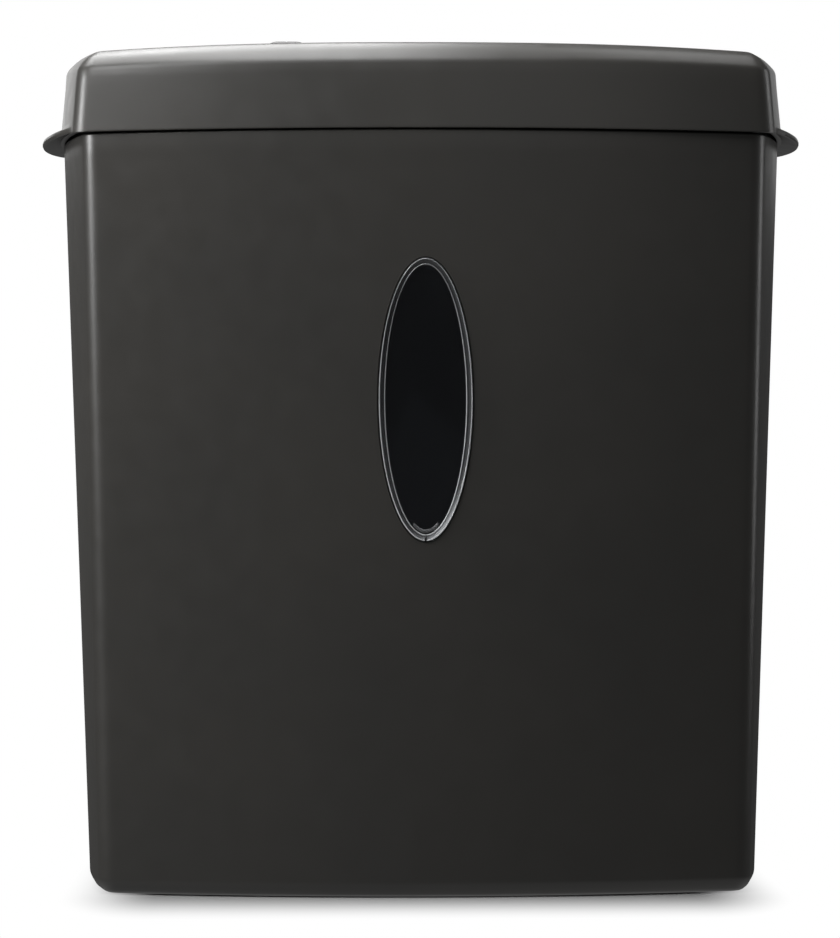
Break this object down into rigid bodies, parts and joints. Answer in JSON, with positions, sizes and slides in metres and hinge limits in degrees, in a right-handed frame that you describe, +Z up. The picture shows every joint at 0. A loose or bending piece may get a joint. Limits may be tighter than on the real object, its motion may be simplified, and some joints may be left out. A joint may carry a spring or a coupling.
{
  "type": "paper shredder",
  "caption": "Home paper shredder: a tapered plastic waste bin with an oval viewing window, and a lift-off cutting head with a feed slot, meshing cutter rollers, reduction gears and a motor.",
  "frame": {"origin": "on the floor, under the middle of the bin", "axes": "+Z up, +X to the right along the feed slot, +Y to the back; the window faces -Y"},
  "size_m": [0.3696, 0.23, 0.4033],
  "materials": {
    "shell": "satin moulded ABS, charcoal brown",
    "window": "clear smoked polycarbonate",
    "trim": "black moulded ABS, fine texture",
    "led": "translucent light pipe",
    "steel": "machined steel",
    "dark_steel": "hardened, oiled steel",
    "gear_plastic": "natural nylon",
    "brass": "sintered bronze and brass",
    "magnet": "ferrite",
    "board": "glass-fibre board with solder mask",
    "relay": "moulded relay case",
    "capacitor": "film capacitor sleeve",
    "rubber": "moulded rubber"
  },
  "bodies": {
    "bin": {"bin_shell": "shell", "window_lens": "window"},
    "head": {"top_cover": "shell", "lower_housing": "trim", "feed_bezel": "trim", "cord_gland": "rubber", "control_panel": "trim", "slide_switch_body": "steel", "led_lens_left": "led", "led_lens_right": "led", "side_plate_left": "steel", "side_plate_right": "steel", "tie_rod_1": "steel", "tie_rod_2": "steel", "tie_rod_3": "steel", "bush_right_front": "brass", "bush_right_rear": "brass", "bush_left_front": "brass", "bush_left_rear": "brass", "stripper_front": "trim", "stripper_rear": "trim", "gear_axle_2": "steel", "gear_axle_1": "steel", "gear_cover": "trim", "motor_can": "steel", "motor_end_cap": "trim", "field_magnet_upper": "magnet", "field_magnet_lower": "magnet", "thermal_cutout": "trim", "control_board": "board", "relay": "relay", "capacitor": "capacitor", "interlock_switch": "trim", "paper_sensor_switch": "trim", "cover_screw_1": "dark_steel", "block_screw_1": "dark_steel", "cover_screw_2": "dark_steel", "block_screw_2": "dark_steel", "cover_screw_3": "dark_steel", "block_screw_3": "dark_steel", "cover_screw_4": "dark_steel", "block_screw_4": "dark_steel"},
    "mode_switch": {"mode_switch_knob": "trim"},
    "cutter_front": {"cutter_shaft_front": "steel", "cutter_stack_front": "dark_steel", "sync_gear_front": "steel", "circlip_front": "dark_steel"},
    "cutter_rear": {"cutter_shaft_rear": "steel", "cutter_stack_rear": "dark_steel", "sync_gear_rear": "steel", "drive_gear": "steel", "circlip_rear": "dark_steel"},
    "gear_2": {"reduction_gear_2": "gear_plastic"},
    "gear_1": {"reduction_gear_1": "gear_plastic"},
    "rotor": {"armature": "dark_steel", "motor_fan": "trim", "motor_pinion": "brass"},
    "paper_lever": {"paper_sensor_lever": "gear_plastic"},
    "interlock": {"interlock_plunger": "gear_plastic"}
  },
  "joints": [
    {"name": "head_lift", "type": "slide", "parent": "bin", "child": "head", "axis": [0, 0, 1], "range_m": [0, 0.3]},
    {"name": "mode_switch_slide", "type": "slide", "parent": "head", "child": "mode_switch", "axis": [1, 0, 0], "range_m": [-0.008, 0.008]},
    {"name": "motor_spin", "type": "hinge", "parent": "head", "child": "rotor", "pos_m": [0, 0.062, 0.344], "axis": [1, 0, 0], "continuous": true},
    {"name": "gear_1_spin", "type": "hinge", "parent": "head", "child": "gear_1", "pos_m": [0, 0.04213, 0.3417], "axis": [1, 0, 0], "continuous": true},
    {"name": "gear_2_spin", "type": "hinge", "parent": "head", "child": "gear_2", "pos_m": [0, 0.03652, 0.36863], "axis": [1, 0, 0], "continuous": true},
    {"name": "cutter_rear_spin", "type": "hinge", "parent": "head", "child": "cutter_rear", "pos_m": [0, 0.005, 0.344], "axis": [1, 0, 0], "continuous": true},
    {"name": "cutter_front_spin", "type": "hinge", "parent": "head", "child": "cutter_front", "pos_m": [0, -0.029, 0.344], "axis": [1, 0, 0], "continuous": true},
    {"name": "paper_lever_tilt", "type": "hinge", "parent": "head", "child": "paper_lever", "pos_m": [0, 0.004, 0.378], "axis": [1, 0, 0], "range_deg": [0, 30], "stiffness_Nm_per_rad": 0.002, "springref_deg": -11.46},
    {"name": "interlock_press", "type": "slide", "parent": "head", "child": "interlock", "axis": [0, 0, 1], "range_m": [0, 0.003], "stiffness_N_per_m": 200, "springref_m": -0.002}
  ],
  "couplings": [
    {"joint": "gear_1_spin", "follows": "motor_spin", "ratio": -0.25},
    {"joint": "gear_2_spin", "follows": "motor_spin", "ratio": 0.0625},
    {"joint": "cutter_rear_spin", "follows": "motor_spin", "ratio": -0.020833},
    {"joint": "cutter_front_spin", "follows": "motor_spin", "ratio": 0.020833}
  ]
}
